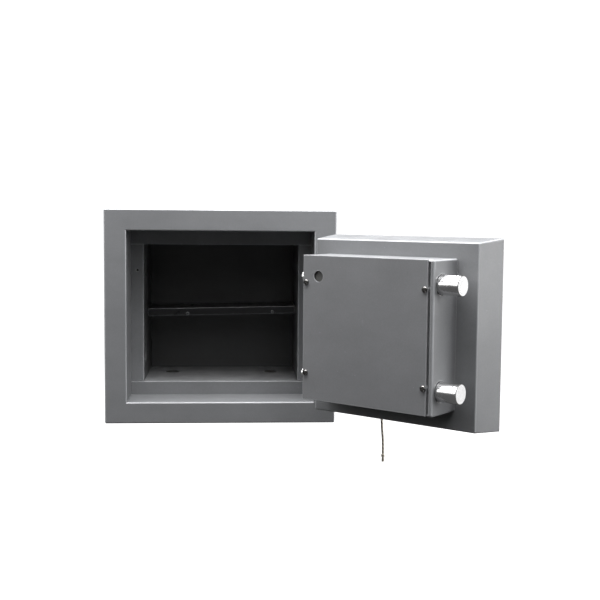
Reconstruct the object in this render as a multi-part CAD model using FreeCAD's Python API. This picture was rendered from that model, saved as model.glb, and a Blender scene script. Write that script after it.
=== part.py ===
"""Wall safe with a filled steel body and a thick hinged door, in millimetres.

+X points to the right of someone facing the safe, +Y into the wall and +Z up.
The origin is on the underside, midway between the two floor anchor holes.
Everything on the door is drawn with the door shut, and then swung open.
A place on the shut door is given by u, from the hinge edge of the door's inner face
towards its free edge, by v, from that face into the safe, and by the height z.
"""
import FreeCAD, Part
import math
import os

from FreeCAD import Vector

os.makedirs("parts", exist_ok=True)

# ---- body -------------------------------------------------------------------------------
WIDTH = 400.0
HEIGHT = 372.0
DEPTH = 300.0
ANCHOR_SETBACK = 200.0          # from the front of the frame back to the anchor holes
FRONT = -ANCHOR_SETBACK
BACK = FRONT + DEPTH
SIDE_BORDER = 38.0              # width of the front frame beside the door recess
END_BORDER = 37.0               # and above and below it
RECESS_DEPTH = 82.0
JAMB_SIDE = 23.0                # how far each jamb stands into the recess
JAMB_TOP = 26.0
JAMB_BOTTOM = 24.0
JAMB_SEAM = 1.2                 # open seam between the side jambs and the bottom jamb
INTERIOR_BACK = 260.0           # from the front of the frame
FRAME_THICK = 5.0
JAMB_THICK = 4.0
SHEET = 3.0
EDGE_ROUND = 3.0
RIM_ROUND = 2.2

RECESS_X = WIDTH / 2 - SIDE_BORDER
RECESS_Z0 = END_BORDER
RECESS_Z1 = HEIGHT - END_BORDER
JAMB_Y = FRONT + RECESS_DEPTH
LINER_Y = JAMB_Y + JAMB_THICK
BACK_Y = FRONT + INTERIOR_BACK
ROOM_X = RECESS_X - JAMB_SIDE
ROOM_Z0 = RECESS_Z0 + JAMB_BOTTOM
ROOM_Z1 = RECESS_Z1 - JAMB_TOP

ANCHOR_SPACING = 188.0
ANCHOR_HOLE_R = 12.0
SLEEVE_R = 15.0
PROBE_HOLE_R = 2.4
PROBE_HOLE_DEPTH = 12.0
PROBE_HOLE_X = -150.0
PROBE_HOLE_Z = 262.5

# ---- shelf ------------------------------------------------------------------------------
SHELF_TOP = 189.0
SHELF_THICK = 1.5
SHELF_FRONT = FRONT + 160.0
SHELF_DEPTH = 94.0
SHELF_LIP = 14.0
SHELF_GAP = 1.0
SHELF_TILT = math.radians(1.2)   # it sits higher on the right
SHELF_RIVETS_X = (-64.0, 95.0)
RIVET_R = 2.6
LEDGE_WIDTH = 8.0
LEDGE_HEIGHT = 5.0
LEDGE_INSET = 12.0

# ---- door -------------------------------------------------------------------------------
OPEN_ANGLE = 138.0              # how far the door stands open at rest
HINGE_X = 189.0
HINGE_Y = FRONT - 11.0
DOOR_GAP = 1.5                  # between the shut door and the jambs
DOOR_THICK = 62.0
DOOR_WIDTH = 298.0              # of the inner face
DOOR_U0_X = 150.0               # where the hinge edge of the inner face lies, shut
DOOR_Z0 = 44.5
DOOR_Z1 = 326.0
FLARE_FREE = 7.5                # how much further out the outer face reaches on each side
FLARE_HINGE = 8.5
FLARE_ENDS = 6.0
DOOR_SHEET = 3.0
DOOR_PLATE = 10.0
DOOR_ROUND = 2.5
DOOR_FACE_Y = JAMB_Y - DOOR_GAP

# ---- lock box and cover -----------------------------------------------------------------
BOX_U0 = 26.0
BOX_U1 = 262.4
BOX_Z0 = 73.5
BOX_Z1 = 302.0
BOX_V = 65.2
BOX_SHEET = 2.0
BOX_ROUND = 3.0
FLANGE = 20.0                   # turned in round the mouth of the box
LIP = 6.0                       # but narrower beside the groove along the free edge
GROOVE_DEPTH = 2.5              # under the cover's back
STRIP_U0 = 242.0                # inner edge of the strip that floors the groove
COVER_U1 = 252.8
COVER_Z0 = 74.5
COVER_THICK = 2.0
COVER_V = BOX_V + COVER_THICK
SCREW_PLACES = ((32.0, 259.5), (31.5, 117.0), (248.0, 259.0), (247.8, 115.0))
SCREW_HEAD_R = 4.7
SCREW_HEAD_HEIGHT = 3.0
SCREW_SHANK_R = 2.45
SCREW_SHANK = 5.0
PORT_U = 55.6                   # inspection hole in the cover
PORT_Z = 269.4
PORT_R = 8.7

# ---- locking bolts and what drives them -------------------------------------------------
BOLT_R = 15.0
BOLT_V = 43.6
BOLT_HEIGHTS = {"upper": 265.3, "lower": 109.0}
BOLT_TIP_U = 297.2
BOLT_LENGTH = 80.0
BOLT_CHAMFER = 0.8
BOLT_HOLE_R = 17.0              # in the body
BOX_HOLE_R = 16.2               # in the lock box
SPIGOT_R = 6.0
GUIDE_THICK = 22.0
GUIDE_HALF = 24.0
BOSS_R = 5.5
DOG_R = 10.0
DOG_V = 30.0
DOG_TIP_U = 0.0
DOG_INNER_U = 44.0
CARRIAGE_THICK = 10.0
HANDLE_U = 150.0
HANDLE_Z = 187.0
GEAR_MODULE = 2.5
GEAR_TEETH = 16
PRESSURE_ANGLE = math.radians(20.0)
BACKLASH = 0.25
WORK_V0 = 36.0                  # the layer that the rack and the pinion share
WORK_V1 = 44.0
TAIL_HEIGHT = 16.0
TAIL_U0 = 60.5
SPINDLE_R = 8.0
HANDLE_V = -DOOR_THICK - 4.5    # underside of the handle's hub
HUB_HEIGHT = 24.0
LEVER_REACH = 72.0

# ---- key lock ---------------------------------------------------------------------------
KEY_U = 72.7
KEY_Z = 170.0
KEY_R = 3.5
KEY_BIT_R = 9.0
KEY_BIT_THICK = 2.6
KEY_BIT_V0 = 33.0
KEY_BIT_V1 = 46.0
KEY_NECK = 34.0                 # from the door's outer face to the bow
BOW_R = 15.0
BOW_HOLE_R = 9.0
BOW_THICK = 4.0
LOCK_BOLT_TRAVEL = 12.0
LOCK_WALL = 2.5

# ---- hinges -----------------------------------------------------------------------------
HINGE_STARTS = {"lower": 60.0, "upper": 240.0}
KNUCKLE_R = 9.0
KNUCKLE_HEIGHT = 34.0
COLLAR_THICK = 2.0              # of the pin, between its two knuckles
PIN_R = 4.5
PIN_PLAY = 0.05

# ---- string on the key ------------------------------------------------------------------
STRING_R = 2.0
KNOT_R = 3.6
END_KNOT_R = 3.1
LOOP_R = 5.7
LOOP_OFF = 30.0                 # from the door's outer face to the loop round the key
# Sideways drift of the hanging string at each height, chosen by hand
STRING_POINTS = (
    (0.0, 0.0, 157.0),
    (0.8, -0.6, 128.0),
    (-1.2, 0.5, 84.0),
    (-2.4, 0.7, 42.0),
    (-0.6, -0.8, 6.0),
    (1.6, 0.3, -18.0),
    (1.4, 0.0, -36.0),
)


# ---- helpers ----------------------------------------------------------------------------
def block(x0, x1, y0, y1, z0, z1):
    """A box between two corners, given in any order."""
    low = Vector(min(x0, x1), min(y0, y1), min(z0, z1))
    return Part.makeBox(abs(x1 - x0), abs(y1 - y0), abs(z1 - z0), low)


def rod(radius, start, end):
    """A round bar from one point to another."""
    along = end - start
    return Part.makeCylinder(radius, along.Length, start, along)


def round_edges(solid, radius, chosen):
    """Round the edges for which chosen(edge) is true."""
    edges = [edge for edge in solid.Edges if chosen(edge)]
    return solid.makeFillet(radius, edges)


def lies_at(edge, axis, value):
    """Whether both ends of an edge lie in the plane where one coordinate has this value."""
    return all(abs(getattr(vertex.Point, axis) - value) < 0.01 for vertex in edge.Vertexes)


def runs_along(edge, axis):
    """Whether an edge is straight and parallel to x, y or z."""
    ends = [vertex.Point for vertex in edge.Vertexes]
    if len(ends) != 2:
        return False
    along = ends[1] - ends[0]
    return abs(abs(getattr(along, axis)) - along.Length) < 0.01


def save(name, solid):
    """Write one sub-part where it stands."""
    if not solid.isValid() or solid.Volume <= 0:
        raise ValueError(name + " is not a valid solid")
    solid.exportStep("parts/" + name + ".step")


def on_door(u, v, z):
    """A point of the shut door."""
    return Vector(DOOR_U0_X - u, DOOR_FACE_Y + v, z)


def door_block(u0, u1, v0, v1, z0, z1):
    """A box on the shut door."""
    near = on_door(u0, v0, z0)
    far = on_door(u1, v1, z1)
    return block(near.x, far.x, near.y, far.y, z0, z1)


def door_rod(radius, u, z, v0, v1):
    """A round bar through the shut door's thickness."""
    return rod(radius, on_door(u, v0, z), on_door(u, v1, z))


def swung(solid):
    """The solid after the door is swung from shut to where it stands at rest."""
    solid = solid.copy()
    solid.rotate(Vector(HINGE_X, HINGE_Y, 0), Vector(0, 0, 1), OPEN_ANGLE)
    return solid


def save_on_door(name, solid):
    save(name, swung(solid))


# ---- body -------------------------------------------------------------------------------
def make_front_frame():
    plate = block(-WIDTH / 2, WIDTH / 2, FRONT, FRONT + FRAME_THICK, 0, HEIGHT)
    plate = round_edges(plate, EDGE_ROUND, lambda edge: runs_along(edge, "y"))
    plate = round_edges(plate, EDGE_ROUND - 0.2, lambda edge: lies_at(edge, "y", FRONT))
    opening = block(-RECESS_X, RECESS_X, FRONT - 1, FRONT + 9, RECESS_Z0, RECESS_Z1)
    plate = plate.cut(opening)

    def rim(edge):
        inside = abs(edge.CenterOfMass.x) < RECESS_X + 1 and RECESS_Z0 - 1 < edge.CenterOfMass.z < RECESS_Z1 + 1
        return inside and lies_at(edge, "y", FRONT)

    save("front_frame", round_edges(plate, RIM_ROUND, rim))


def make_recess_walls():
    y0 = FRONT + FRAME_THICK
    outer = RECESS_X + SHEET
    save("recess_left", block(-outer, -RECESS_X, y0, JAMB_Y, RECESS_Z0, RECESS_Z1))
    save("recess_right", block(RECESS_X, outer, y0, JAMB_Y, RECESS_Z0, RECESS_Z1))
    save("recess_floor", block(-outer, outer, y0, JAMB_Y, RECESS_Z0 - SHEET, RECESS_Z0))
    save("recess_ceiling", block(-outer, outer, y0, JAMB_Y, RECESS_Z1, RECESS_Z1 + SHEET))


def make_jambs():
    outer = RECESS_X + SHEET
    side_z0 = ROOM_Z0 + JAMB_SEAM
    bottom = block(-outer, outer, JAMB_Y, LINER_Y, RECESS_Z0 - SHEET, ROOM_Z0)

    def front_top(edge):
        return lies_at(edge, "y", JAMB_Y) and lies_at(edge, "z", ROOM_Z0)

    save("jamb_bottom", round_edges(bottom, 1.0, front_top))
    save("jamb_top", block(-outer, outer, JAMB_Y, LINER_Y, ROOM_Z1, RECESS_Z1 + SHEET))
    right = block(ROOM_X, outer, JAMB_Y, LINER_Y, side_z0, ROOM_Z1)
    left = block(-outer, -ROOM_X, JAMB_Y, LINER_Y, side_z0, ROOM_Z1)

    def opening_edge(edge):
        return lies_at(edge, "y", JAMB_Y) and abs(abs(edge.CenterOfMass.x) - ROOM_X) < 0.01

    left = round_edges(left, 1.2, opening_edge)
    save("jamb_left", left.cut(probe_hole()))
    save("jamb_right", round_edges(right, 1.2, opening_edge))


def probe_hole():
    """A blind hole through the left jamb into the filling."""
    mouth = Vector(PROBE_HOLE_X, JAMB_Y - 1, PROBE_HOLE_Z)
    return rod(PROBE_HOLE_R, mouth, mouth + Vector(0, PROBE_HOLE_DEPTH + 1, 0))


def bolt_hole(z, x0, x1):
    """The hole that a thrown locking bolt stands in, across the left wall."""
    y = DOOR_FACE_Y + BOLT_V
    return rod(BOLT_HOLE_R, Vector(x0, y, z), Vector(x1, y, z))


def dog_slot(z, x0, x1):
    """The slot that lets a fixed dog bolt swing out of the right wall."""
    y0 = DOOR_FACE_Y + DOG_V - 8.0
    y1 = DOOR_FACE_Y + DOG_V
    radius = DOG_R + 1.0
    ends = rod(radius, Vector(x0, y0, z), Vector(x1, y0, z))
    ends = ends.fuse(rod(radius, Vector(x0, y1, z), Vector(x1, y1, z)))
    return ends.fuse(block(x0, x1, y0, y1, z - radius, z + radius)).removeSplitter()


POCKET_X = 156.0                # how far the bolt and dog pockets reach into the filling


def make_liner():
    outer = ROOM_X + SHEET
    y1 = BACK_Y + SHEET
    left = block(-outer, -ROOM_X, LINER_Y, y1, ROOM_Z0, ROOM_Z1)
    right = block(ROOM_X, outer, LINER_Y, y1, ROOM_Z0, ROOM_Z1)
    for z in BOLT_HEIGHTS.values():
        left = left.cut(bolt_hole(z, -outer - 1, -ROOM_X + 1))
        right = right.cut(dog_slot(z, ROOM_X - 1, outer + 1))
    save("liner_left", left)
    save("liner_right", right)
    floor = block(-outer, outer, LINER_Y, y1, ROOM_Z0 - SHEET, ROOM_Z0)
    for x in anchor_places():
        floor = floor.cut(rod(SLEEVE_R, Vector(x, 0, ROOM_Z0 - 9), Vector(x, 0, ROOM_Z0 + 1)))
    save("liner_floor", floor)
    save("liner_ceiling", block(-outer, outer, LINER_Y, y1, ROOM_Z1, ROOM_Z1 + SHEET))
    save("liner_back", block(-ROOM_X, ROOM_X, BACK_Y, y1, ROOM_Z0, ROOM_Z1))


def anchor_places():
    return (-ANCHOR_SPACING / 2, ANCHOR_SPACING / 2)


def make_casing():
    y0 = FRONT + FRAME_THICK
    y1 = BACK - SHEET
    half = WIDTH / 2
    side_z1 = HEIGHT - SHEET
    save("casing_left", block(-half, SHEET - half, y0, y1, SHEET, side_z1))
    save("casing_right", block(half - SHEET, half, y0, y1, SHEET, side_z1))
    for name, z0, z1 in (("casing_bottom", 0, SHEET), ("casing_top", side_z1, HEIGHT)):
        plate = block(-half, half, y0, y1, z0, z1)
        outside = 0 if name == "casing_bottom" else HEIGHT
        plate = round_edges(plate, SHEET - 0.2,
                            lambda edge: runs_along(edge, "y") and lies_at(edge, "z", outside))
        if name == "casing_bottom":
            for x in anchor_places():
                plate = plate.cut(rod(SLEEVE_R, Vector(x, 0, -1), Vector(x, 0, 9)))
        save(name, plate)
    back = block(-half, half, y1, BACK, 0, HEIGHT)
    back = round_edges(back, EDGE_ROUND, lambda edge: runs_along(edge, "y"))
    save("back_plate", back)


def make_anchor_sleeves():
    for name, x in zip(("left", "right"), anchor_places()):
        base = Vector(x, 0, 0)
        top = Vector(x, 0, ROOM_Z0)
        save("anchor_sleeve_" + name, rod(SLEEVE_R, base, top).cut(rod(ANCHOR_HOLE_R, base, top)))


def make_body_filling():
    half = WIDTH / 2 - SHEET
    fill = block(-half, half, FRONT + FRAME_THICK, BACK - SHEET, SHEET, HEIGHT - SHEET)
    outer = RECESS_X + SHEET
    fill = fill.cut(block(-outer, outer, FRONT, LINER_Y, RECESS_Z0 - SHEET, RECESS_Z1 + SHEET))
    room = ROOM_X + SHEET
    fill = fill.cut(block(-room, room, JAMB_Y, BACK_Y + SHEET, ROOM_Z0 - SHEET, ROOM_Z1 + SHEET))
    for z in BOLT_HEIGHTS.values():
        fill = fill.cut(bolt_hole(z, -POCKET_X, -ROOM_X)).cut(dog_slot(z, ROOM_X, POCKET_X))
    for x in anchor_places():
        fill = fill.cut(rod(SLEEVE_R, Vector(x, 0, 0), Vector(x, 0, ROOM_Z0)))
    save("body_filling", fill.cut(probe_hole()))


def make_shelf():
    half = ROOM_X - SHELF_GAP
    y1 = SHELF_FRONT + SHELF_DEPTH
    under = SHELF_TOP - SHELF_THICK
    tray = block(-half, half, SHELF_FRONT, y1, under, SHELF_TOP)
    lip = SHELF_TOP - SHELF_LIP
    tray = tray.fuse(block(-half, half, SHELF_FRONT, SHELF_FRONT + SHELF_THICK, lip, under))
    tray = tray.fuse(block(-half, half, y1 - SHELF_THICK, y1, lip, under)).removeSplitter()

    def nose(edge):
        return lies_at(edge, "y", SHELF_FRONT) and lies_at(edge, "z", SHELF_TOP)

    tray = round_edges(tray, 1.0, nose)
    for x in SHELF_RIVETS_X:
        base = Vector(x, SHELF_FRONT + 0.1, lip + 3.4)
        head = rod(RIVET_R, base, base + Vector(0, -1.5, 0))
        tray = tray.fuse(round_edges(head, 1.0, lambda edge: lies_at(edge, "y", SHELF_FRONT - 1.4)))
    tray.rotate(Vector(0, 0, under), Vector(0, 1, 0), -math.degrees(SHELF_TILT))
    save("shelf", tray)
    rise = math.tan(SHELF_TILT)
    for name, side, lowest_x in (("left", -1, -ROOM_X), ("right", 1, ROOM_X - LEDGE_WIDTH)):
        top = under + lowest_x * rise
        ledge = block(side * ROOM_X, side * (ROOM_X - LEDGE_WIDTH), SHELF_FRONT + LEDGE_INSET,
                      y1 - LEDGE_INSET, top - LEDGE_HEIGHT, top)
        save("shelf_ledge_" + name, ledge)


# ---- door slab --------------------------------------------------------------------------
def door_wedge(inset, v0, v1):
    """The door's flared block between two depths, its sides drawn in by inset."""
    def outline(v):
        share = -v / DOOR_THICK
        u0 = -FLARE_HINGE * share + inset
        u1 = DOOR_WIDTH + FLARE_FREE * share - inset
        z0 = DOOR_Z0 - FLARE_ENDS * share + inset
        z1 = DOOR_Z1 + FLARE_ENDS * share - inset
        corners = [on_door(u0, v, z0), on_door(u1, v, z0), on_door(u1, v, z1), on_door(u0, v, z1)]
        return Part.makePolygon(corners + corners[:1])
    return Part.makeLoft([outline(v0), outline(v1)], True, True)


def door_holes():
    """The ways through the slab for the handle's spindle and for the key."""
    spindle = door_rod(SPINDLE_R + 4.0, HANDLE_U, HANDLE_Z, -DOOR_THICK - 1, 1)
    key = door_rod(KEY_BIT_R + 3.0, KEY_U, KEY_Z, -DOOR_THICK - 1, 1)
    return spindle.fuse(key)


def make_door_slab():
    pan = door_wedge(0, -DOOR_THICK, 0)

    def bend(edge):
        return not lies_at(edge, "y", DOOR_FACE_Y - DOOR_THICK)

    pan = round_edges(pan, DOOR_ROUND, bend)
    hollow = door_wedge(DOOR_SHEET, -DOOR_THICK - 1, -DOOR_SHEET)
    holes = door_holes()
    save_on_door("door_pan", pan.cut(hollow).cut(holes))
    plate = door_wedge(DOOR_SHEET, -DOOR_THICK, DOOR_PLATE - DOOR_THICK)
    save_on_door("door_front_plate", plate.cut(holes))
    filling = door_wedge(DOOR_SHEET, DOOR_PLATE - DOOR_THICK, -DOOR_SHEET)
    save_on_door("door_filling", filling.cut(holes))


def keyway(v0, v1, play=0.3):
    """The keyhole's shape: room for the round shank and for both bits."""
    half = KEY_BIT_R + play
    slot = (KEY_BIT_THICK + 2 * play) / 2
    shank = door_rod(KEY_R + play, KEY_U, KEY_Z, v0, v1)
    return shank.fuse(door_block(KEY_U - slot, KEY_U + slot, v0, v1, KEY_Z - half, KEY_Z + half))


def flanged_tube(flange_r, flange_thick, tube_r, u, z):
    """A tube through the slab with a rounded flange on the door's outer face."""
    outer_v = -DOOR_THICK
    flange = door_rod(flange_r, u, z, outer_v - flange_thick, outer_v)
    rim_y = DOOR_FACE_Y + outer_v - flange_thick
    flange = round_edges(flange, 1.2, lambda edge: lies_at(edge, "y", rim_y))
    return flange.fuse(door_rod(tube_r, u, z, outer_v, 0))


def make_door_fittings():
    bush = flanged_tube(26.0, 4.0, SPINDLE_R + 4.0, HANDLE_U, HANDLE_Z)
    bore = door_rod(SPINDLE_R + 0.08, HANDLE_U, HANDLE_Z, -DOOR_THICK - 9, 1)
    save_on_door("handle_bush", bush.cut(bore))
    tube = flanged_tube(17.0, 3.0, KEY_BIT_R + 3.0, KEY_U, KEY_Z)
    way = door_rod(KEY_BIT_R + 1.0, KEY_U, KEY_Z, -DOOR_THICK, 1)
    save_on_door("key_escutcheon", tube.cut(way).cut(keyway(-DOOR_THICK - 4, -DOOR_THICK + 1)))


# ---- lock box ---------------------------------------------------------------------------
def make_lock_box():
    box = door_block(BOX_U0, BOX_U1, 0, BOX_V, BOX_Z0, BOX_Z1)
    box = round_edges(box, BOX_ROUND, lambda edge: not lies_at(edge, "y", DOOR_FACE_Y))
    t = BOX_SHEET
    hollow = door_block(BOX_U0 + t, BOX_U1 - t, -1, BOX_V - t, BOX_Z0 + t, BOX_Z1 - t)
    inner_round = BOX_ROUND - t
    hollow = round_edges(hollow, inner_round, lambda edge: not lies_at(edge, "y", DOOR_FACE_Y - 1))
    mouth = door_block(BOX_U0 + FLANGE, BOX_U1 - LIP, 0, BOX_V + 1, BOX_Z0 + FLANGE, BOX_Z1 - FLANGE)
    groove = door_block(COVER_U1 - 1, BOX_U1 - LIP, BOX_V - 9, BOX_V + 1,
                        BOX_Z0 + BOX_ROUND, BOX_Z1 - BOX_ROUND)
    box = box.cut(hollow).cut(mouth).cut(groove)
    riser_u1 = BOX_U1 - LIP + t
    low_v = BOX_V - GROOVE_DEPTH - t
    box = box.fuse(door_block(STRIP_U0, riser_u1, low_v, low_v + t, BOX_Z0 + 1, BOX_Z1 - 1))
    box = box.fuse(door_block(BOX_U1 - LIP, riser_u1, low_v, BOX_V, BOX_Z0 + BOX_ROUND, BOX_Z1 - BOX_ROUND))
    for u, z in SCREW_PLACES[2:]:
        box = box.fuse(door_rod(BOSS_R, u, z, low_v + t, BOX_V))
    for z in BOLT_HEIGHTS.values():
        box = box.cut(rod(BOX_HOLE_R, on_door(BOX_U1 - 3, BOLT_V, z), on_door(BOX_U1 + 1, BOLT_V, z)))
        box = box.cut(rod(DOG_R, on_door(BOX_U0 - 1, DOG_V, z), on_door(BOX_U0 + 9, DOG_V, z)))
    for u, z in SCREW_PLACES:
        box = box.cut(door_rod(SCREW_SHANK_R + 0.05, u, z, BOX_V - 9, BOX_V + 1))
    save_on_door("lock_box", box.removeSplitter())


def make_cover():
    cover = door_block(BOX_U0, COVER_U1, BOX_V, COVER_V, COVER_Z0, BOX_Z1)
    cover = round_edges(cover, 0.6, lambda edge: lies_at(edge, "y", DOOR_FACE_Y + COVER_V))
    cover = cover.cut(door_rod(PORT_R, PORT_U, PORT_Z, BOX_V - 1, COVER_V + 1))
    for u, z in SCREW_PLACES:
        cover = cover.cut(door_rod(SCREW_SHANK_R + 0.3, u, z, BOX_V - 1, COVER_V + 1))
    save_on_door("cover_plate", cover)


def make_cover_screws():
    """Pan heads with a crossed recess."""
    for number, (u, z) in enumerate(SCREW_PLACES, 1):
        head = door_rod(SCREW_HEAD_R, u, z, COVER_V, COVER_V + SCREW_HEAD_HEIGHT)
        top = DOOR_FACE_Y + COVER_V + SCREW_HEAD_HEIGHT
        head = round_edges(head, SCREW_HEAD_HEIGHT - 0.6, lambda edge: lies_at(edge, "y", top))
        shank = door_rod(SCREW_SHANK_R, u, z, COVER_V - SCREW_SHANK, COVER_V)
        recess_v = COVER_V + SCREW_HEAD_HEIGHT - 1.6
        across = door_block(u - 2.4, u + 2.4, recess_v, COVER_V + 9, z - 0.5, z + 0.5)
        upright = door_block(u - 0.5, u + 0.5, recess_v, COVER_V + 9, z - 2.4, z + 2.4)
        save_on_door("cover_screw_" + str(number), head.fuse(shank).cut(across).cut(upright))


# ---- boltwork ---------------------------------------------------------------------------
def make_locking_bolts():
    """Round bolts, each with a spigot riveted over behind the carriage."""
    inner_u = BOLT_TIP_U - BOLT_LENGTH
    back_u = inner_u - CARRIAGE_THICK
    tip_x = DOOR_U0_X - BOLT_TIP_U
    for name, z in BOLT_HEIGHTS.items():
        bolt = rod(BOLT_R, on_door(inner_u, BOLT_V, z), on_door(BOLT_TIP_U, BOLT_V, z))
        bolt = bolt.makeChamfer(BOLT_CHAMFER, [e for e in bolt.Edges if lies_at(e, "x", tip_x)])
        spigot = rod(SPIGOT_R, on_door(back_u, BOLT_V, z), on_door(inner_u, BOLT_V, z))
        rivet = rod(SPIGOT_R + 3.0, on_door(back_u - 3.0, BOLT_V, z), on_door(back_u, BOLT_V, z))
        save_on_door("locking_bolt_" + name, bolt.fuse(spigot).fuse(rivet))


def make_bolt_guides():
    """Blocks behind the box's free edge that the bolts slide through."""
    u1 = BOX_U1 - BOX_SHEET
    top = BOX_V - GROOVE_DEPTH - BOX_SHEET
    for name, z in BOLT_HEIGHTS.items():
        guide = door_block(u1 - GUIDE_THICK, u1, 0, top, z - GUIDE_HALF, z + GUIDE_HALF)
        bore = rod(BOLT_R + 0.1, on_door(u1 - 99, BOLT_V, z), on_door(u1 + 1, BOLT_V, z))
        save_on_door("bolt_guide_" + name, guide.cut(bore))


def make_dog_bolts():
    """Fixed bolts on the hinge side, each with the foot that holds it."""
    tip_x = DOOR_U0_X - DOG_TIP_U
    for name, z in BOLT_HEIGHTS.items():
        dog = rod(DOG_R, on_door(DOG_TIP_U, DOG_V, z), on_door(DOG_INNER_U, DOG_V, z))
        dog = dog.makeChamfer(1.5, [e for e in dog.Edges if lies_at(e, "x", tip_x)])
        foot = door_block(DOG_INNER_U - 14, DOG_INNER_U, 0, DOG_V + 6, z - 16, z + 16)
        save_on_door("dog_bolt_" + name, dog.fuse(foot))


PITCH_R = GEAR_MODULE * GEAR_TEETH / 2
RACK_PITCH = math.pi * GEAR_MODULE
RACK_LINE = HANDLE_Z + PITCH_R
TAIL_Z0 = RACK_LINE + 1.25 * GEAR_MODULE
STROKE = PITCH_R * math.pi / 2
NOTCH_HALF = 6.6
NOTCH_DEPTH = 9.0


def make_carriage():
    bolt_end_u = BOLT_TIP_U - BOLT_LENGTH
    bar_u0 = bolt_end_u - CARRIAGE_THICK
    bar = door_block(bar_u0, bolt_end_u, 30, 57, BOLT_HEIGHTS["lower"] - 20, BOLT_HEIGHTS["upper"] + 20)
    for z in BOLT_HEIGHTS.values():
        bar = bar.cut(rod(SPIGOT_R, on_door(bar_u0 - 1, BOLT_V, z), on_door(bolt_end_u + 1, BOLT_V, z)))
    tail = door_block(TAIL_U0, bar_u0, WORK_V0, WORK_V1, TAIL_Z0, TAIL_Z0 + TAIL_HEIGHT)
    for notch_u in (KEY_U, KEY_U + STROKE):
        tail = tail.cut(door_block(notch_u - NOTCH_HALF, notch_u + NOTCH_HALF, WORK_V0 - 1,
                                   WORK_V1 + 1, TAIL_Z0 - 1, TAIL_Z0 + NOTCH_DEPTH))
    carriage = bar.fuse(tail)
    for number in range(-2, 6):
        carriage = carriage.fuse(rack_tooth(HANDLE_U + (number + 0.5) * RACK_PITCH))
    save_on_door("bolt_carriage", carriage.removeSplitter())


def rack_tooth(u):
    """One straight-sided tooth that points down at the pinion."""
    tip_z = RACK_LINE - 0.9 * GEAR_MODULE
    half_pitch = RACK_PITCH / 4 - BACKLASH / 2
    slope = math.tan(PRESSURE_ANGLE)
    tip = half_pitch - 0.9 * GEAR_MODULE * slope
    root = half_pitch + (TAIL_Z0 - RACK_LINE) * slope
    corners = [(u - root, TAIL_Z0), (u - tip, tip_z), (u + tip, tip_z), (u + root, TAIL_Z0)]
    points = [on_door(a, WORK_V0, z) for a, z in corners]
    face = Part.Face(Part.makePolygon(points + points[:1]))
    return face.extrude(Vector(0, WORK_V1 - WORK_V0, 0))


def pinion_outline():
    """Points round the pinion, with true involute flanks from the base circle outwards."""
    base_r = PITCH_R * math.cos(PRESSURE_ANGLE)
    tip_r = PITCH_R + GEAR_MODULE
    root_r = PITCH_R - 1.3 * GEAR_MODULE
    at_pitch = math.tan(PRESSURE_ANGLE) - PRESSURE_ANGLE
    half_tooth = math.pi / (2 * GEAR_TEETH) - BACKLASH / (2 * PITCH_R)
    steps = 6
    flank = []
    for step in range(steps + 1):
        radius = base_r + (tip_r - base_r) * step / steps
        pressure = math.acos(base_r / radius)
        turn = half_tooth + at_pitch - (math.tan(pressure) - pressure)
        flank.append((radius, turn))
    flank.insert(0, (root_r, flank[0][1]))
    points = []
    for tooth in range(GEAR_TEETH):
        middle = math.pi / 2 + 2 * math.pi * tooth / GEAR_TEETH
        side = [(r, middle - turn) for r, turn in flank] + [(r, middle + turn) for r, turn in reversed(flank)]
        for radius, angle in side:
            points.append(on_door(HANDLE_U - radius * math.cos(angle), WORK_V0,
                                  HANDLE_Z + radius * math.sin(angle)))
    return points


def make_spindle():
    """The shaft that the handle turns, with the pinion cut on its inner end."""
    points = pinion_outline()
    wheel = Part.Face(Part.makePolygon(points + points[:1])).extrude(Vector(0, WORK_V1 - WORK_V0, 0))
    hub_top = HANDLE_V - HUB_HEIGHT + 6
    shaft = door_rod(SPINDLE_R, HANDLE_U, HANDLE_Z, hub_top, WORK_V1 + 4)
    save_on_door("handle_spindle", wheel.fuse(shaft))


def make_tail_guide():
    """The bracket that holds the carriage's tail down on the door."""
    u0 = 104.0
    u1 = 170.0
    top = TAIL_Z0 + TAIL_HEIGHT
    play = 0.3
    foot = door_block(u0, u1, 0, WORK_V0 - play, TAIL_Z0 + 2, top + 12)
    post = door_block(u0, u1, WORK_V0 - play, WORK_V1 + play, top + play, top + 12)
    lip = door_block(u0, u1, WORK_V1 + play, WORK_V1 + 3.3, top - 6, top + 12)
    save_on_door("tail_guide", foot.fuse(post).fuse(lip).removeSplitter())


# ---- handle -----------------------------------------------------------------------------
def make_handle():
    outer_v = HANDLE_V - HUB_HEIGHT
    hub = door_rod(17.0, HANDLE_U, HANDLE_Z, outer_v, HANDLE_V)
    hub = round_edges(hub, 3.0, lambda edge: lies_at(edge, "y", DOOR_FACE_Y + outer_v))
    lever_v = outer_v + 9.0
    shoulder = on_door(HANDLE_U, lever_v, HANDLE_Z)
    down = Vector(0, 0, -1)
    lever = Part.makeCone(8.0, 6.0, LEVER_REACH, shoulder, down)
    end = shoulder + down * LEVER_REACH
    handle = hub.fuse(lever).fuse(Part.makeSphere(9.0, end))
    shaft = door_rod(SPINDLE_R, HANDLE_U, HANDLE_Z, outer_v + 6, HANDLE_V + 1)
    save_on_door("handle", handle.cut(shaft))


# ---- key lock ---------------------------------------------------------------------------
PLATE_HALF = 18.0
WINDOW_HALF = 12.5
WINDOW_Z0 = KEY_Z - KEY_BIT_R - 0.8 - LOCK_BOLT_TRAVEL
WINDOW_Z1 = KEY_Z + KEY_BIT_R + 1.0
LOCK_V0 = 28.0
LOCK_V1 = 50.0
CASE_HALF = 24.0
CASE_Z0 = WINDOW_Z0 - 11.5
CASE_Z1 = WINDOW_Z1 + 20.5
BOLT_V0 = 35.5
BOLT_V1 = 43.5


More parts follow.
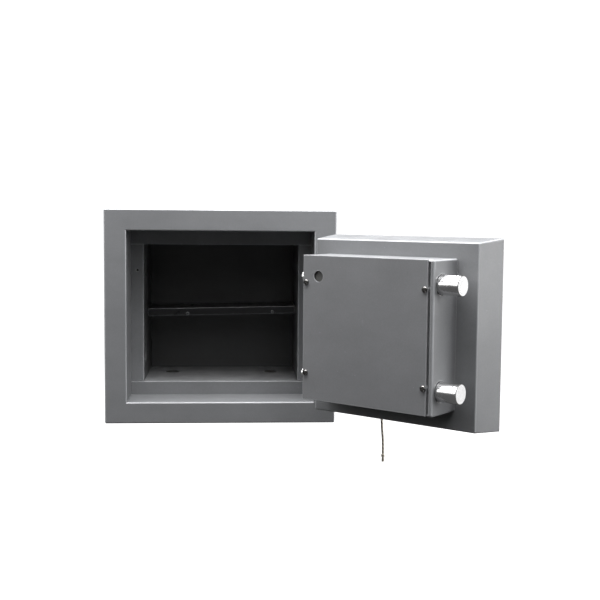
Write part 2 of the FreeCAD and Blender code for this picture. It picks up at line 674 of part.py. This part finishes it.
def make_lock():
    case = door_block(KEY_U - CASE_HALF, KEY_U + CASE_HALF, 0, LOCK_V1, CASE_Z0, CASE_Z1)
    case = case.cut(door_rod(KEY_BIT_R + 1, KEY_U, KEY_Z, -1, LOCK_V0))
    w = LOCK_WALL
    room = door_block(KEY_U - CASE_HALF + w, KEY_U + CASE_HALF - w, LOCK_V0 + w, LOCK_V1 + 1,
                      CASE_Z0 + w, CASE_Z1 - w)
    exit_slot = door_block(KEY_U - 6.4, KEY_U + 6.4, BOLT_V0 - 0.4, BOLT_V1 + 0.4, CASE_Z1 - 9, CASE_Z1 + 1)
    case = case.cut(room).cut(exit_slot).cut(keyway(LOCK_V0 - 1, LOCK_V0 + w + 1, 0.5))
    save_on_door("lock_case", case)
    cap = door_block(KEY_U - CASE_HALF, KEY_U + CASE_HALF, LOCK_V1, LOCK_V1 + w, CASE_Z0, CASE_Z1)
    save_on_door("lock_cap", cap)
    plate = door_block(KEY_U - PLATE_HALF, KEY_U + PLATE_HALF, BOLT_V0, BOLT_V1,
                       WINDOW_Z0 - 7, WINDOW_Z1 + 4.5)
    window = door_block(KEY_U - WINDOW_HALF, KEY_U + WINDOW_HALF, 0, 60, WINDOW_Z0, WINDOW_Z1)
    head_z1 = TAIL_Z0 + NOTCH_DEPTH - 2.0 - LOCK_BOLT_TRAVEL
    head = door_block(KEY_U - 6, KEY_U + 6, BOLT_V0, BOLT_V1, WINDOW_Z1 + 4.5, head_z1)
    save_on_door("lock_bolt", plate.cut(window).fuse(head).removeSplitter())


def make_relocker():
    """The block of the relocking device, whose end shows through the hole in the cover."""
    housing = door_block(46.4, 74, 0, 64.2, 253, 281.6)
    save_on_door("relocker", round_edges(housing, 2.0, lambda edge: runs_along(edge, "y")))


def make_key():
    bow_centre_v = -DOOR_THICK - KEY_NECK - BOW_R + 1.5
    key = door_rod(KEY_R, KEY_U, KEY_Z, -DOOR_THICK - KEY_NECK - 1.5, KEY_BIT_V1 + 1)
    half = KEY_BIT_THICK / 2
    bit = door_block(KEY_U - half, KEY_U + half, KEY_BIT_V0, KEY_BIT_V1, KEY_Z - KEY_BIT_R, KEY_Z + KEY_BIT_R)
    for cut_v in (KEY_BIT_V0 + 3, KEY_BIT_V0 + 8):
        for side in (-1, 1):
            z_tip = KEY_Z + side * KEY_BIT_R
            bit = bit.cut(door_block(KEY_U - 3, KEY_U + 3, cut_v, cut_v + 2, z_tip, z_tip - side * 2.5))
    side_x = on_door(KEY_U + BOW_THICK / 2, bow_centre_v, KEY_Z)
    bow = Part.makeCylinder(BOW_R, BOW_THICK, side_x, Vector(1, 0, 0))
    bow = round_edges(bow, 1.2, lambda edge: len(edge.Vertexes) == 1)
    hole = Part.makeCylinder(BOW_HOLE_R, 3 * BOW_THICK, side_x - Vector(BOW_THICK, 0, 0), Vector(1, 0, 0))
    save_on_door("key", key.fuse(bit).fuse(bow).cut(hole))


# ---- hinges -----------------------------------------------------------------------------
def knuckle(z0, z1):
    bore = rod(PIN_R + PIN_PLAY, Vector(HINGE_X, HINGE_Y, z0 - 1), Vector(HINGE_X, HINGE_Y, z1 + 1))
    return rod(KNUCKLE_R, Vector(HINGE_X, HINGE_Y, z0), Vector(HINGE_X, HINGE_Y, z1)), bore


def make_hinges():
    outer_y = DOOR_FACE_Y - DOOR_THICK
    arm_x0 = DOOR_U0_X + FLARE_HINGE - 0.5
    for name, z0 in HINGE_STARTS.items():
        z1 = z0 + KNUCKLE_HEIGHT
        z2 = z1 + COLLAR_THICK
        z3 = z2 + KNUCKLE_HEIGHT
        barrel, bore = knuckle(z0, z1)
        leaf = block(HINGE_X - 20, HINGE_X + 9, FRONT - 3, FRONT, z0, z1)
        web = block(HINGE_X - 7, HINGE_X + 7, HINGE_Y, FRONT - 3, z0, z1)
        save("hinge_leaf_" + name, leaf.fuse(web).fuse(barrel).cut(bore).removeSplitter())
        barrel, bore = knuckle(z2, z3)
        arm = block(arm_x0, HINGE_X, HINGE_Y - 4, HINGE_Y + 4, z2, z3)
        arm = arm.fuse(block(arm_x0 - 8, arm_x0, HINGE_Y - 4, outer_y, z2, z3))
        arm = arm.fuse(block(arm_x0 - 44, arm_x0 - 8, outer_y - 6, outer_y, z2, z3))
        save("hinge_arm_" + name, swung(arm.fuse(barrel).cut(bore).removeSplitter()))
        pin = rod(PIN_R, Vector(HINGE_X, HINGE_Y, z0 - 3), Vector(HINGE_X, HINGE_Y, z3 + 1))
        head = rod(KNUCKLE_R - 1, Vector(HINGE_X, HINGE_Y, z0 - 4), Vector(HINGE_X, HINGE_Y, z0))
        collar = rod(KNUCKLE_R, Vector(HINGE_X, HINGE_Y, z1), Vector(HINGE_X, HINGE_Y, z2))
        save("hinge_pin_" + name, pin.fuse(head).fuse(collar))


# ---- string on the key ------------------------------------------------------------------
def string_tube(points, radius):
    """A tube of straight runs joined by tangent arcs, each as large as its two runs allow."""
    edges = []
    start = points[0]
    for before, corner, after in zip(points, points[1:], points[2:]):
        arrive = (corner - before).normalize()
        leave = (after - corner).normalize()
        turn = arrive.getAngle(leave)
        cut = 0.45 * min(corner.distanceToPoint(before), corner.distanceToPoint(after))
        print("string arc radius", round(cut / math.tan(turn / 2), 1))
        arc_start = corner - arrive * cut
        arc_end = corner + leave * cut
        toward = (leave - arrive).normalize()
        bulge = cut / math.tan(turn / 2) * (1 / math.cos(turn / 2) - 1)
        edges.append(Part.LineSegment(start, arc_start).toShape())
        edges.append(Part.Arc(arc_start, corner + toward * bulge, arc_end).toShape())
        start = arc_end
    edges.append(Part.LineSegment(start, points[-1]).toShape())
    path = Part.Wire(edges)
    section = Part.Wire(Part.makeCircle(radius, points[0], points[1] - points[0]))
    tube = path.makePipeShell([section], True, True)
    print("string length", round(path.Length, 1), "volume over section times length",
          round(tube.Volume / (math.pi * radius ** 2 * path.Length), 4))
    return tube


def make_string():
    loop_centre = on_door(KEY_U, -DOOR_THICK - LOOP_OFF, KEY_Z)
    loop = Part.makeTorus(LOOP_R, STRING_R, loop_centre, Vector(0, 1, 0))
    hang = swung(Part.Vertex(loop_centre)).Point
    points = [Vector(hang.x + dx, hang.y + dy, z) for dx, dy, z in STRING_POINTS]
    save("key_string", string_tube(points, STRING_R))
    print("string points", [tuple(round(c, 1) for c in point) for point in points])
    top = points[0]
    knot = rod(KNOT_R, top, top + Vector(0, 0, 8.0))
    knot = round_edges(knot, 2.0, lambda edge: len(edge.Vertexes) == 1)
    save("string_loop", swung(loop).fuse(knot))
    low = points[-1]
    knot = rod(END_KNOT_R, low, low - Vector(0, 0, 5.5))
    knot = round_edges(knot, 1.6, lambda edge: len(edge.Vertexes) == 1)
    tuft = Part.makeCone(2.0, 2.6, 7.5, low - Vector(0, 0, 5.5), Vector(0, 0, -1))
    save("string_end_knot", knot.fuse(tuft))


make_front_frame()
make_recess_walls()
make_jambs()
make_liner()
make_casing()
make_anchor_sleeves()
make_body_filling()
make_shelf()
make_door_slab()
make_door_fittings()
make_lock_box()
make_cover()
make_cover_screws()
make_locking_bolts()
make_bolt_guides()
make_dog_bolts()
make_carriage()
make_spindle()
make_tail_guide()
make_handle()
make_lock()
make_relocker()
make_key()
make_hinges()
make_string()
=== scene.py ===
"""Looks of the wall safe: paint, metal, string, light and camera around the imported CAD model.

Sizes are in metres, in the frame of the CAD model: +X right, +Y into the wall, +Z up.
"""

import math

import bpy
from mathutils import Matrix, Vector


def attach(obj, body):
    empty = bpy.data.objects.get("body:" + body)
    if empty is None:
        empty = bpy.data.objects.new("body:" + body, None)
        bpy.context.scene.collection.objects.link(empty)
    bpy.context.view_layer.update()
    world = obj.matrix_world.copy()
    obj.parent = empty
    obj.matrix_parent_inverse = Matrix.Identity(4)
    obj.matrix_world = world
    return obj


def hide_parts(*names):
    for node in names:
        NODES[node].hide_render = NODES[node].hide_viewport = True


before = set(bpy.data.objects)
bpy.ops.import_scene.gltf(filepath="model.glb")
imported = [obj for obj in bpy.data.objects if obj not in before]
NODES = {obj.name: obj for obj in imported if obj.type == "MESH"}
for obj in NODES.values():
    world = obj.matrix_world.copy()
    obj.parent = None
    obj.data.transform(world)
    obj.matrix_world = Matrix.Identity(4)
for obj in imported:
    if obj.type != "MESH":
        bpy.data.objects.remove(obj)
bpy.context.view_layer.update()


# ---- camera, first because the string is judged against it ------------------------------
CAMERA_PLACE = (0.0205, -2.0052, 0.3683)
CAMERA_YAW = math.radians(3.7)
CAMERA_PITCH = math.radians(-4.8)
CAMERA_ROLL = math.radians(0.48)
LENS_MM = 62.72
SENSOR_MM = 36.0


def make_camera():
    """A long-ish lens about two metres away, level with the top of the safe."""
    yaw, pitch, roll = CAMERA_YAW, CAMERA_PITCH, CAMERA_ROLL
    forward = Vector((math.sin(yaw) * math.cos(pitch), math.cos(yaw) * math.cos(pitch),
                      math.sin(pitch)))
    level = Vector((math.cos(yaw), -math.sin(yaw), 0))
    upright = level.cross(forward)
    right = level * math.cos(roll) + upright * math.sin(roll)
    up = upright * math.cos(roll) - level * math.sin(roll)
    data = bpy.data.cameras.new("camera")
    data.sensor_width = SENSOR_MM
    data.lens = LENS_MM
    camera = bpy.data.objects.new("camera", data)
    turn = Matrix((right, up, -forward)).transposed().to_4x4()
    camera.matrix_world = Matrix.Translation(CAMERA_PLACE) @ turn
    bpy.context.scene.collection.objects.link(camera)
    bpy.context.scene.camera = camera


# ---- materials --------------------------------------------------------------------------
# Width of the edge lightening: partly rubbed paint, partly a painted highlight.
EDGE_RUB_AND_HIGHLIGHT_WIDTH = 0.0028
DOOR_TURN = math.radians(138.0)     # the door stands open by this much at rest

# Linear colours of the paints
OUTSIDE_GREY = (0.205, 0.209, 0.217)
# Inner walls darker than the outside grey: painted shade for the dim inside of the safe.
INNER_GREY_PAINTED_SHADE = (0.093, 0.094, 0.096)
# Liner floor lighter than the inner walls: painted light for the light that falls on it.
FLOOR_GREY_PAINTED_LIGHT = (0.165, 0.167, 0.172)
# Shelf paint made near black to stand for the shade inside the safe: painted shade.
SHELF_BLACK_PAINTED_SHADE = (0.026, 0.0265, 0.028)
DOOR_GREY = (0.203, 0.207, 0.215)
COVER_GREY = (0.196, 0.199, 0.207)
RELOCKER_GREY = (0.084, 0.084, 0.080)
# Pale tones laid on up-facing faces as painted light.
PAINTED_LIGHT_PALE = (0.235, 0.238, 0.245)
PAINTED_LIGHT_PALER = (0.33, 0.333, 0.34)
# Pale steel on rubbed upper roundings, also a painted highlight.
BARE_STEEL_HIGHLIGHT_COLOUR = (0.80, 0.80, 0.80, 1.0)

# Linear colours of the metals
CHROME = (0.74, 0.74, 0.74)
SATIN_CHROME = (0.70, 0.71, 0.72)
MACHINED = (0.50, 0.50, 0.49)
BLACKENED = (0.20, 0.195, 0.19)
NICKEL = (0.62, 0.59, 0.53)

SMOOTH_BELOW = 40       # degrees between faces

# Depths of fine relief, in metres
ORANGE_PEEL = 0.00008
GRIT = 0.0006
TWIST = 0.0004
GRAIN = 0.00001
PLATED = 0.000001
WORN_PLATING = 0.000002


def new_material(name):
    """A material with an empty node tree but for a Principled shader and its output."""
    material = bpy.data.materials.new(name)
    material.use_nodes = True
    nodes = material.node_tree.nodes
    nodes.clear()
    shader = nodes.new("ShaderNodeBsdfPrincipled")
    output = nodes.new("ShaderNodeOutputMaterial")
    material.node_tree.links.new(shader.outputs["BSDF"], output.inputs["Surface"])
    return material, shader


def noise(material, scale, detail=4.0, roughness=0.55, stretch=(1, 1, 1)):
    """Noise in object space, in cells per metre, stretched along each axis."""
    tree = material.node_tree
    place = tree.nodes.new("ShaderNodeTexCoord")
    mapping = tree.nodes.new("ShaderNodeMapping")
    mapping.inputs["Scale"].default_value = stretch
    texture = tree.nodes.new("ShaderNodeTexNoise")
    texture.inputs["Scale"].default_value = scale
    texture.inputs["Detail"].default_value = detail
    texture.inputs["Roughness"].default_value = roughness
    tree.links.new(place.outputs["Object"], mapping.inputs["Vector"])
    tree.links.new(mapping.outputs["Vector"], texture.inputs["Vector"])
    return texture.outputs["Fac"]


def ramp(material, source, stops):
    """Map a value through a colour ramp given as (place, colour) pairs."""
    node = material.node_tree.nodes.new("ShaderNodeValToRGB")
    elements = node.color_ramp.elements
    while len(elements) < len(stops):
        elements.new(0.5)
    for element, (place, colour) in zip(elements, stops):
        element.position = place
        element.color = (*colour, 1.0)
    material.node_tree.links.new(source, node.inputs["Fac"])
    return node.outputs["Color"]


def levels(material, source, low, high, out_low, out_high):
    """Map a value linearly from one range to another, clamped."""
    node = material.node_tree.nodes.new("ShaderNodeMapRange")
    for name, value in (("From Min", low), ("From Max", high),
                        ("To Min", out_low), ("To Max", out_high)):
        node.inputs[name].default_value = value
    material.node_tree.links.new(source, node.inputs["Value"])
    return node.outputs["Result"]


def bump(material, shader, height, depth):
    """Raise the surface by a height map, depth metres from black to white."""
    node = material.node_tree.nodes.new("ShaderNodeBump")
    node.inputs["Strength"].default_value = 1.0
    node.inputs["Distance"].default_value = depth
    material.node_tree.links.new(height, node.inputs["Height"])
    material.node_tree.links.new(node.outputs["Normal"], shader.inputs["Normal"])


def shade(colour, factor):
    """Lighten or darken a colour."""
    return tuple(min(1.0, channel * factor) for channel in colour)


def multiply(material, colour, factor):
    """Scale a colour by a grey value."""
    node = material.node_tree.nodes.new("ShaderNodeMix")
    node.data_type = "RGBA"
    node.blend_type = "MULTIPLY"
    node.inputs["Factor"].default_value = 1.0
    material.node_tree.links.new(colour, node.inputs["A"])
    material.node_tree.links.new(factor, node.inputs["B"])
    return node.outputs["Result"]


def combine(material, operation, one, other):
    """Join two values with a Math node."""
    node = material.node_tree.nodes.new("ShaderNodeMath")
    node.operation = operation
    material.node_tree.links.new(one, node.inputs[0])
    material.node_tree.links.new(other, node.inputs[1])
    return node.outputs["Value"]


def mix(material, factor, one, other):
    """Blend from one colour to another by a factor; the other may be a constant."""
    node = material.node_tree.nodes.new("ShaderNodeMix")
    node.data_type = "RGBA"
    links = material.node_tree.links
    links.new(factor, node.inputs["Factor"])
    links.new(one, node.inputs["A"])
    if isinstance(other, tuple):
        node.inputs["B"].default_value = other
    else:
        links.new(other, node.inputs["B"])
    return node.outputs["Result"]


def split(material, vector):
    """The X, Y and Z of a vector."""
    node = material.node_tree.nodes.new("ShaderNodeSeparateXYZ")
    material.node_tree.links.new(vector, node.inputs["Vector"])
    return [node.outputs[axis] for axis in "XYZ"]


def height_of_normal(material):
    """1 where a surface faces up, 0 where it is upright, -1 where it faces down."""
    place = material.node_tree.nodes.new("ShaderNodeTexCoord")
    return split(material, place.outputs["Normal"])[2]


def rub_and_highlight_marks(material, turn):
    """Rises from 0 on flat faces to 1 on roundings and sharp edges, for a node turned about Z. The
    paint is lightened there, partly as rubbed wear and partly as a painted highlight.
    """
    nodes = material.node_tree.nodes
    links = material.node_tree.links
    blunt = nodes.new("ShaderNodeBevel")
    blunt.samples = 4
    blunt.inputs["Radius"].default_value = EDGE_RUB_AND_HIGHLIGHT_WIDTH
    real = nodes.new("ShaderNodeNewGeometry")
    dot = nodes.new("ShaderNodeVectorMath")
    dot.operation = "DOT_PRODUCT"
    links.new(blunt.outputs["Normal"], dot.inputs[0])
    links.new(real.outputs["True Normal"], dot.inputs[1])
    sharp = levels(material, dot.outputs["Value"], 0.86, 0.998, 1.0, 0.0)
    place = nodes.new("ShaderNodeTexCoord")
    own = nodes.new("ShaderNodeVectorRotate")
    own.rotation_type = "Z_AXIS"
    own.inputs["Angle"].default_value = -turn
    links.new(place.outputs["Normal"], own.inputs["Vector"])
    size = nodes.new("ShaderNodeVectorMath")
    size.operation = "ABSOLUTE"
    links.new(own.outputs["Vector"], size.inputs[0])
    x, y, z = split(material, size.outputs["Vector"])
    most = combine(material, "MAXIMUM", combine(material, "MAXIMUM", x, y), z)
    rounded = levels(material, most, 0.90, 0.993, 1.0, 0.0)
    return combine(material, "MAXIMUM", sharp, rounded)


def paint_light_on_faces_up(material, colour):
    """Lay patchy painted light over the faces that look up."""
    facing_up = levels(material, height_of_normal(material), 0.75, 0.98, 0.0, 0.9)
    painted_light_up = ramp(material, noise(material, 30.0, detail=6.0), [(0.3, PAINTED_LIGHT_PALE), (0.7, PAINTED_LIGHT_PALER)])
    return mix(material, facing_up, colour, painted_light_up)


def lay_bare_steel_and_highlight(material, shader, colour, rub_and_highlight_mask):
    """Bright bare steel on the roundings that look up: partly paint rubbed off, partly a painted
    highlight where light falls from above.
    """
    looks_up = levels(material, height_of_normal(material), 0.15, 0.40, 0.0, 1.0)
    bare_and_highlit = combine(material, "MULTIPLY", rub_and_highlight_mask, looks_up)
    material.node_tree.links.new(bare_and_highlit, shader.inputs["Metallic"])
    return mix(material, bare_and_highlit, colour, BARE_STEEL_HIGHLIGHT_COLOUR)


def paint(name, colour, roughness=0.34, rub_and_highlight_gain=0.5, turn=0.0, painted_light_up=False, bare_and_highlit=False):
    """Sprayed satin enamel with orange peel, cloudy tone, scuffs and specks, and edges lightened
    partly as rubbed paint and partly as a painted highlight.
    """
    material, shader = new_material(name)
    links = material.node_tree.links
    clouds = noise(material, 7.0, detail=7.0, roughness=0.66, stretch=(1.0, 1.0, 1.6))
    tone = ramp(material, clouds, [(0.28, shade(colour, 0.90)), (0.74, shade(colour, 1.09))])
    grain = noise(material, 420.0, detail=3.0, roughness=0.7)
    tone = multiply(material, tone, levels(material, grain, 0.2, 0.8, 0.92, 1.08))
    specks = levels(material, noise(material, 240.0, detail=1.0), 0.775, 0.82, 1.0, 1.5)
    tone = multiply(material, tone, specks)
    streaks = noise(material, 55.0, detail=8.0, roughness=0.78, stretch=(1.0, 1.0, 0.35))
    tone = multiply(material, tone, levels(material, streaks, 0.64, 0.76, 1.0, 1.25))
    # Lighten edges and roundings: partly rubbed paint, partly a painted highlight.
    rub_and_highlight_mask = rub_and_highlight_marks(material, turn)
    tone = multiply(material, tone, levels(material, rub_and_highlight_mask, 0.0, 1.0, 1.0, 1.0 + rub_and_highlight_gain))
    # Paler patches on faces that look up: painted light.
    if painted_light_up:
        tone = paint_light_on_faces_up(material, tone)
    # Bare steel on upper roundings: rubbed paint and a painted highlight.
    if bare_and_highlit:
        tone = lay_bare_steel_and_highlight(material, shader, tone, rub_and_highlight_mask)
    links.new(tone, shader.inputs["Base Color"])
    patches = noise(material, 26.0, detail=6.0)
    links.new(levels(material, patches, 0.3, 0.7, roughness - 0.06, roughness + 0.08),
              shader.inputs["Roughness"])
    shader.inputs["Specular IOR Level"].default_value = 0.5
    bump(material, shader, noise(material, 650.0, detail=2.0), ORANGE_PEEL)
    return material


def metal(name, colour, roughness, spread=0.06, grain=(1, 1, 1), grain_scale=300.0,
          depth=GRAIN):
    """Bare or plated metal with a grain along one axis and small changes of polish."""
    material, shader = new_material(name)
    links = material.node_tree.links
    grain_map = noise(material, grain_scale, detail=3.0, stretch=grain)
    tone = ramp(material, noise(material, 35.0, detail=6.0),
                [(0.30, shade(colour, 0.90)), (0.70, shade(colour, 1.06))])
    links.new(tone, shader.inputs["Base Color"])
    links.new(levels(material, grain_map, 0.25, 0.75, roughness - spread, roughness + spread),
              shader.inputs["Roughness"])
    shader.inputs["Metallic"].default_value = 1.0
    bump(material, shader, grain_map, depth)
    return material


def give(material, *names):
    """Put one material on whole CAD nodes."""
    for name in names:
        mesh = NODES[name].data
        mesh.materials.clear()
        mesh.materials.append(material)


def smooth(angle, *names):
    """Smooth shading across faces that meet at less than the angle, in degrees."""
    for name in names:
        for polygon in NODES[name].data.polygons:
            polygon.use_smooth = True
        NODES[name].data.set_sharp_from_angle(angle=math.radians(angle))


def dress_body():
    """Paint the frame, the room, the shelf and the casing."""
    give(paint("enamel_grey", OUTSIDE_GREY, rub_and_highlight_gain=1.1),
         "front_frame", "recess_left", "recess_right", "recess_floor", "recess_ceiling",
         "jamb_left", "jamb_right", "jamb_bottom", "jamb_top", "casing_left", "casing_right",
         "casing_top", "casing_bottom", "back_plate", "hinge_leaf_upper", "hinge_leaf_lower")
    # Inner walls get the darker grey as painted shade.
    give(paint("enamel_inner", INNER_GREY_PAINTED_SHADE, roughness=0.40),
         "liner_left", "liner_right", "liner_ceiling", "liner_back")
    # Shelf: near-black paint is painted shade; strong edge lightening and bare steel paint a
    # highlight on its nose and lip, besides rubbed paint.
    give(paint("enamel_shelf", SHELF_BLACK_PAINTED_SHADE, roughness=0.32, rub_and_highlight_gain=9.0, bare_and_highlit=True),
         "shelf", "shelf_ledge_left", "shelf_ledge_right")
    # Liner floor: lighter paint and paler up-facing patches, as painted light.
    give(paint("enamel_floor", FLOOR_GREY_PAINTED_LIGHT, roughness=0.5, painted_light_up=True), "liner_floor")
    give(cast_mix(), "body_filling", "door_filling")


def cast_mix():
    """Dark grey barrier mix with lighter grit."""
    material, shader = new_material("barrier_mix")
    grit = noise(material, 220.0, detail=8.0, roughness=0.7)
    colour = ramp(material, grit, [(0.35, (0.055, 0.052, 0.048)), (0.65, (0.12, 0.115, 0.105))])
    material.node_tree.links.new(colour, shader.inputs["Base Color"])
    shader.inputs["Roughness"].default_value = 0.9
    bump(material, shader, grit, GRIT)
    return material


def dress_door():
    """Paint the door, its lock box and the hinge arms that turn with it."""
    give(paint("enamel_door", DOOR_GREY, turn=DOOR_TURN, rub_and_highlight_gain=1.0),
         "door_pan", "lock_box", "hinge_arm_upper", "hinge_arm_lower", "door_front_plate")
    give(paint("enamel_cover", COVER_GREY, roughness=0.36, turn=DOOR_TURN, rub_and_highlight_gain=0.7), "cover_plate")


def dress_metal():
    """Bare and plated pieces, and the dull grey relocker."""
    give(metal("polished_chrome", CHROME, 0.24, spread=0.03, depth=PLATED),
         "locking_bolt_upper", "locking_bolt_lower", "dog_bolt_upper", "dog_bolt_lower")
    give(metal("machined_steel", MACHINED, 0.34, grain=(1, 1, 12), grain_scale=160.0),
         "bolt_carriage", "bolt_guide_upper", "bolt_guide_lower", "lock_bolt", "lock_case",
         "lock_cap", "tail_guide", "hinge_pin_upper", "hinge_pin_lower", "handle_spindle",
         "anchor_sleeve_left", "anchor_sleeve_right")
    give(metal("black_oxide", BLACKENED, 0.20),
         "cover_screw_1", "cover_screw_2", "cover_screw_3", "cover_screw_4")
    give(paint("relocker_grey", RELOCKER_GREY, roughness=0.5, turn=DOOR_TURN), "relocker")
    give(metal("satin_chrome", SATIN_CHROME, 0.27, spread=0.03, depth=PLATED),
         "handle", "handle_bush", "key_escutcheon")
    give(metal("worn_nickel", NICKEL, 0.30, spread=0.08, depth=WORN_PLATING), "key")


# ---- string -----------------------------------------------------------------------------
STRING_DIAMETER = 0.0040
STRING_POINTS = (
    (0.2723, -0.2854, 0.157),
    (0.2731, -0.2860, 0.128),
    (0.2711, -0.2849, 0.084),
    (0.2699, -0.2847, 0.042),
    (0.2717, -0.2862, 0.006),
    (0.2739, -0.2851, -0.018),
    (0.2737, -0.2854, -0.036),
)


def twine():
    """Twisted beige string: painted shade darkens the creases that cross it at a slant, with loose
    fibres between them.
    """
    material, shader = new_material("twine")
    nodes = material.node_tree.nodes
    links = material.node_tree.links
    place = nodes.new("ShaderNodeTexCoord")
    strands = nodes.new("ShaderNodeTexWave")
    strands.wave_type = "BANDS"
    strands.bands_direction = "DIAGONAL"
    strands.inputs["Scale"].default_value = 95.0
    strands.inputs["Distortion"].default_value = 1.2
    strands.inputs["Detail"].default_value = 2.0
    links.new(place.outputs["Object"], strands.inputs["Vector"])
    fibre = noise(material, 900.0, detail=5.0, stretch=(1.0, 1.0, 0.45))
    colour = ramp(material, fibre, [(0.30, (0.52, 0.465, 0.375)), (0.70, (0.86, 0.80, 0.70))])
    # Darker bands in the twist creases: painted shade.
    crease_painted_shade = levels(material, strands.outputs["Fac"], 0.0, 0.45, 0.6, 1.0)
    links.new(multiply(material, colour, crease_painted_shade), shader.inputs["Base Color"])
    shader.inputs["Roughness"].default_value = 0.85
    bump(material, shader, strands.outputs["Fac"], TWIST)
    return material


def make_string():
    """The cord that hangs from the key, drawn as a curve in place of its CAD solid."""
    curve = bpy.data.curves.new("hanging_string", "CURVE")
    curve.dimensions = "3D"
    curve.bevel_depth = STRING_DIAMETER / 2
    curve.bevel_resolution = 4
    curve.use_fill_caps = True
    spline = curve.splines.new("NURBS")
    spline.points.add(len(STRING_POINTS) - 1)
    for point, place in zip(spline.points, STRING_POINTS):
        point.co = (*place, 1.0)
    spline.order_u = 3
    spline.use_endpoint_u = True
    spline.resolution_u = 12
    string = bpy.data.objects.new("hanging_string", curve)
    bpy.context.scene.collection.objects.link(string)
    material = twine()
    curve.materials.append(material)
    give(material, "string_loop", "string_end_knot")
    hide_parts("key_string")
    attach(string, "key_string")


# ---- stage and light --------------------------------------------------------------------
BACKDROP = 1.15
ROOM_LIGHT = 0.02
ROOM_REFLECTED = 0.11
LIGHT_DISTANCE = 2.2
LIGHT_SIZE = 1.1
LIGHT_MIDDLE = Vector((0.12, -0.3, 0.2))
# Name, degrees round from the front towards the right, degrees up, and watts
SOFTBOXES = (
    ("back_overhead", 180, 62, 54.0),
    ("overhead", 0, 85, 62.0),
    ("left_high", -90, 62, 47.0),
    ("key_right", 35, 62, 40.0),
    ("key_left", -35, 62, 12.0),
    ("right_panel", 75, 8, 27.0),
    ("left_panel", -75, 20, 10.0),
    ("underneath", 0, -60, 4.5),
    ("front", 0, 36, 5.5),
)
RIGHT_BACK_PLACE = (2.17, 0.42, 0.15)
RIGHT_BACK_SIZE = (1.5, 1.6)
RIGHT_BACK_WATTS = 8.0
FLOOR_HALF = 30.0
FLOOR_LEVEL = -0.75


def make_world():
    """White where the camera looks past the safe, and a dim room to light and reflect."""
    world = bpy.data.worlds.new("studio")
    world.use_nodes = True
    nodes = world.node_tree.nodes
    links = world.node_tree.links
    nodes.clear()
    path = nodes.new("ShaderNodeLightPath")

    def room(strength):
        node = nodes.new("ShaderNodeBackground")
        node.inputs["Color"].default_value = (1.0, 1.0, 1.0, 1.0)
        node.inputs["Strength"].default_value = strength
        return node.outputs["Background"]

    def choose(ray, otherwise, seen):
        node = nodes.new("ShaderNodeMixShader")
        links.new(path.outputs[ray], node.inputs["Fac"])
        links.new(otherwise, node.inputs[1])
        links.new(seen, node.inputs[2])
        return node.outputs["Shader"]

    output = nodes.new("ShaderNodeOutputWorld")
    unseen = choose("Is Glossy Ray", room(ROOM_LIGHT), room(ROOM_REFLECTED))
    links.new(choose("Is Camera Ray", unseen, room(BACKDROP)), output.inputs["Surface"])
    bpy.context.scene.world = world


def softbox(name, place, target, width, height, power):
    """A rectangular area light that faces a point."""
    data = bpy.data.lights.new(name, "AREA")
    data.shape = "RECTANGLE"
    data.size = width
    data.size_y = height
    data.energy = power
    light = bpy.data.objects.new(name, data)
    facing = (Vector(target) - Vector(place)).to_track_quat("-Z", "Y")
    light.matrix_world = Matrix.Translation(place) @ facing.to_matrix().to_4x4()
    bpy.context.scene.collection.objects.link(light)


def make_floor():
    """A plain pale floor well below the safe, which hangs in its wall."""
    material, shader = new_material("floor")
    shader.inputs["Base Color"].default_value = (0.86, 0.86, 0.86, 1.0)
    shader.inputs["Roughness"].default_value = 0.9
    shader.inputs["Emission Color"].default_value = (1.0, 1.0, 1.0, 1.0)
    shader.inputs["Emission Strength"].default_value = BACKDROP
    mesh = bpy.data.meshes.new("floor")
    corners = [(x * FLOOR_HALF, y * FLOOR_HALF, FLOOR_LEVEL)
               for x, y in ((-1, -1), (1, -1), (1, 1), (-1, 1))]
    mesh.from_pydata(corners, [], [(0, 1, 2, 3)])
    mesh.materials.append(material)
    floor = bpy.data.objects.new("floor", mesh)
    bpy.context.scene.collection.objects.link(floor)
    floor.visible_diffuse = False
    floor.visible_glossy = False


def make_light():
    """Soft panels all round the open door, and a larger one behind it on the right."""
    for name, around, up, power in SOFTBOXES:
        a = math.radians(around)
        e = math.radians(up)
        away = Vector((math.sin(a) * math.cos(e), -math.cos(a) * math.cos(e), math.sin(e)))
        place = LIGHT_MIDDLE + away * LIGHT_DISTANCE
        softbox(name, place, LIGHT_MIDDLE, LIGHT_SIZE, LIGHT_SIZE, power)
    softbox("right_back", RIGHT_BACK_PLACE, LIGHT_MIDDLE, *RIGHT_BACK_SIZE, RIGHT_BACK_WATTS)


make_camera()
make_string()
dress_body()
dress_door()
dress_metal()
smooth(SMOOTH_BELOW, *NODES)
make_world()
make_floor()
make_light()
bpy.context.scene.view_settings.view_transform = "Standard"
